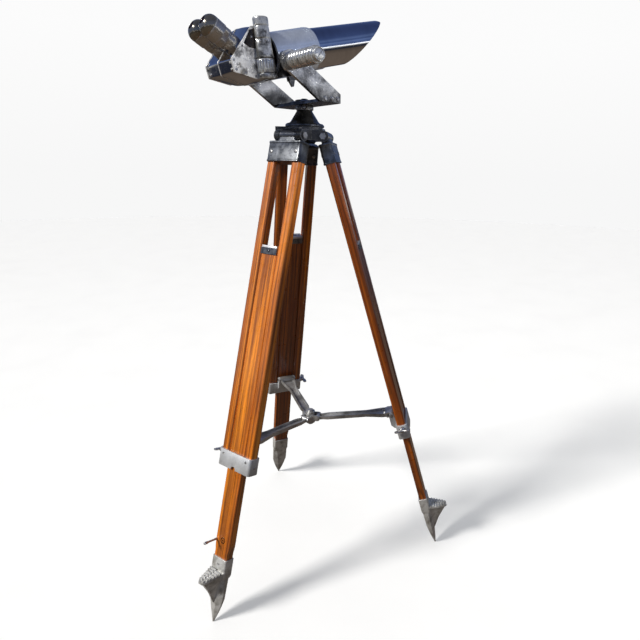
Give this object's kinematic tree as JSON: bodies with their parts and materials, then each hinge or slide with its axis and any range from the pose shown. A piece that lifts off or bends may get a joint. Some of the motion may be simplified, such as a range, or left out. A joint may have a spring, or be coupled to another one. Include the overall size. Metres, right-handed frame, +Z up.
{
  "type": "binoculars on tripod",
  "caption": "Large 45 degree observation binocular with slant-cut sunshades in a fork mount on a wooden tripod with sliding legs, spiked shoes and a centre spreader.",
  "frame": {"origin": "on the vertical turning axis at ground level, the plane of the three foot tips", "axes": "+X the way the instrument looks, +Z up, +Y its left side"},
  "size_m": [0.771, 0.7657, 1.6027],
  "materials": {
    "aluminium": "mottled polished casting",
    "polished": "mirror polished",
    "blackened": "worn black enamel, glossy",
    "steel": "turned",
    "varnished_wood": "amber varnish, satin",
    "eyecup": "glossy",
    "lens": "coated"
  },
  "bodies": {
    "head": {"head_casting": "blackened", "head_cone": "aluminium", "level_box": "blackened", "pin_a": "steel", "pin_b": "steel", "pin_c": "steel"},
    "clamp_ring": {"ring_clamp": "aluminium"},
    "side_clamp": {"head_lever": "blackened"},
    "fork": {"fork_base": "aluminium", "fork_arm_r": "aluminium", "fork_arm_l": "aluminium"},
    "instrument": {"cradle": "aluminium", "trunnion_r": "steel", "trunnion_l": "steel", "prism_housing": "aluminium", "side_plate_r": "aluminium", "side_plate_l": "aluminium", "tower": "aluminium", "barrel_r": "polished", "barrel_l": "polished", "objective_r": "lens", "objective_l": "lens", "eye_base_r": "aluminium", "eye_base_l": "aluminium"},
    "grip_r": {"grip_r_knob": "aluminium"},
    "sunshade_r": {"shade_tube_r": "polished"},
    "focus_r": {"eye_tube_r": "polished", "eye_cup_r": "eyecup"},
    "grip_l": {"grip_l_knob": "aluminium"},
    "sunshade_l": {"shade_tube_l": "polished"},
    "focus_l": {"eye_tube_l": "polished", "eye_cup_l": "eyecup"},
    "filter_selector": {"filter_wheel": "aluminium"},
    "spreader": {"spreader_hub": "aluminium"},
    "leg_a": {"cap_a": "aluminium", "rails_a": "varnished_wood", "bracket_a": "aluminium"},
    "extension_a": {"board_a": "varnished_wood", "guide_a": "aluminium", "shoe_a": "aluminium"},
    "leg_clamp_a": {"screw_a": "steel"},
    "leg_b": {"cap_b": "aluminium", "rails_b": "varnished_wood", "bracket_b": "aluminium"},
    "extension_b": {"board_b": "varnished_wood", "guide_b": "aluminium", "shoe_b": "aluminium"},
    "leg_clamp_b": {"screw_b": "steel"},
    "leg_c": {"cap_c": "aluminium", "rails_c": "varnished_wood", "bracket_c": "aluminium"},
    "extension_c": {"board_c": "varnished_wood", "guide_c": "aluminium", "shoe_c": "aluminium"},
    "leg_clamp_c": {"screw_c": "steel"},
    "strut_a": {"arm_a": "aluminium"},
    "strut_b": {"arm_b": "aluminium"},
    "strut_c": {"arm_c": "aluminium"}
  },
  "joints": [
    {"name": "ring_turn", "type": "hinge", "parent": "head", "child": "clamp_ring", "pos_m": [0, 0, 1.36976], "axis": [0, 0, 1], "range_deg": [-60, 60]},
    {"name": "side_clamp_turn", "type": "hinge", "parent": "head", "child": "side_clamp", "pos_m": [0.05775, 0.01628, 1.31026], "axis": [0.9625, 0.2713, 0], "range_deg": [-90, 90]},
    {"name": "azimuth", "type": "hinge", "parent": "head", "child": "fork", "pos_m": [0, 0, 1.37576], "axis": [0, 0, 1], "continuous": true},
    {"name": "elevation", "type": "hinge", "parent": "fork", "child": "instrument", "pos_m": [-0.107, 0, 1.45526], "axis": [0, -1, 0], "range_deg": [-30, 45]},
    {"name": "grip_r_turn", "type": "hinge", "parent": "instrument", "child": "grip_r", "pos_m": [-0.107, -0.17, 1.45526], "axis": [0, -1, 0], "range_deg": [-120, 120]},
    {"name": "sunshade_r_slide", "type": "slide", "parent": "instrument", "child": "sunshade_r", "axis": [-0.9677, 0, -0.2521], "range_m": [0, 0.055]},
    {"name": "focus_r_turn", "type": "hinge", "parent": "instrument", "child": "focus_r", "pos_m": [-0.24609, -0.031, 1.50251], "axis": [-0.8625, 0, 0.506], "range_deg": [-120, 120]},
    {"name": "grip_l_turn", "type": "hinge", "parent": "instrument", "child": "grip_l", "pos_m": [-0.107, 0.17, 1.45526], "axis": [0, 1, 0], "range_deg": [-120, 120]},
    {"name": "sunshade_l_slide", "type": "slide", "parent": "instrument", "child": "sunshade_l", "axis": [-0.9677, 0, -0.2521], "range_m": [0, 0.055]},
    {"name": "focus_l_turn", "type": "hinge", "parent": "instrument", "child": "focus_l", "pos_m": [-0.24609, 0.031, 1.50251], "axis": [-0.8625, 0, 0.506], "range_deg": [-120, 120]},
    {"name": "filter_turn", "type": "hinge", "parent": "instrument", "child": "filter_selector", "pos_m": [-0.15442, -0.076, 1.44291], "axis": [-0.0976, 0, 0.9952], "range_deg": [-90, 90]},
    {"name": "leg_a_spread", "type": "hinge", "parent": "head", "child": "leg_a", "pos_m": [0.04082, -0.03978, 1.29726], "axis": [0.6979, 0.7162, 0], "range_deg": [0, 2]},
    {"name": "leg_a_extend", "type": "slide", "parent": "leg_a", "child": "extension_a", "axis": [0.1946, -0.1897, -0.9624], "range_m": [-0.2, 0.35]},
    {"name": "leg_clamp_a_turn", "type": "hinge", "parent": "leg_a", "child": "leg_clamp_a", "pos_m": [0.16538, -0.25192, 0.45712], "axis": [-0.6979, -0.7162, 0], "range_deg": [-90, 90]},
    {"name": "leg_b_spread", "type": "hinge", "parent": "head", "child": "leg_b", "pos_m": [-0.05486, -0.01546, 1.29726], "axis": [0.2713, -0.9625, 0], "range_deg": [0, 2]},
    {"name": "leg_b_extend", "type": "slide", "parent": "leg_b", "child": "extension_b", "axis": [-0.2616, -0.0737, -0.9624], "range_m": [-0.2, 0.35]},
    {"name": "leg_clamp_b_turn", "type": "hinge", "parent": "leg_b", "child": "leg_clamp_b", "pos_m": [-0.30086, -0.01726, 0.45712], "axis": [-0.2713, 0.9625, 0], "range_deg": [-90, 90]},
    {"name": "leg_c_spread", "type": "hinge", "parent": "head", "child": "leg_c", "pos_m": [0.01404, 0.05524, 1.29726], "axis": [-0.9692, 0.2463, 0], "range_deg": [0, 2]},
    {"name": "leg_c_extend", "type": "slide", "parent": "leg_c", "child": "extension_c", "axis": [0.0669, 0.2634, -0.9624], "range_m": [-0.2, 0.35]},
    {"name": "leg_clamp_c_turn", "type": "hinge", "parent": "leg_c", "child": "leg_clamp_c", "pos_m": [0.13548, 0.26918, 0.45712], "axis": [0.9692, -0.2463, 0], "range_deg": [-90, 90]},
    {"name": "spreader_slide", "type": "slide", "parent": "head", "child": "spreader", "axis": [0, 0, -1], "range_m": [0, 0.0965]},
    {"name": "strut_a_fold", "type": "hinge", "parent": "spreader", "child": "strut_a", "pos_m": [0.01719, -0.01675, 0.45476], "axis": [-0.6979, -0.7162, 0], "range_deg": [0, 23.17]},
    {"name": "strut_b_fold", "type": "hinge", "parent": "spreader", "child": "strut_b", "pos_m": [-0.0231, -0.00651, 0.45476], "axis": [-0.2713, 0.9625, 0], "range_deg": [0, 23.17]},
    {"name": "strut_c_fold", "type": "hinge", "parent": "spreader", "child": "strut_c", "pos_m": [0.00591, 0.02326, 0.45476], "axis": [0.9692, -0.2463, 0], "range_deg": [0, 23.17]}
  ],
  "couplings": [
    {"joint": "spreader_slide", "follows": "leg_a_spread", "m_per_rad": 2.7355},
    {"joint": "strut_a_fold", "follows": "leg_a_spread", "ratio": 11.336},
    {"joint": "strut_b_fold", "follows": "leg_a_spread", "ratio": 11.336},
    {"joint": "strut_c_fold", "follows": "leg_a_spread", "ratio": 11.336},
    {"joint": "leg_b_spread", "follows": "leg_a_spread", "ratio": 1},
    {"joint": "leg_c_spread", "follows": "leg_a_spread", "ratio": 1}
  ]
}
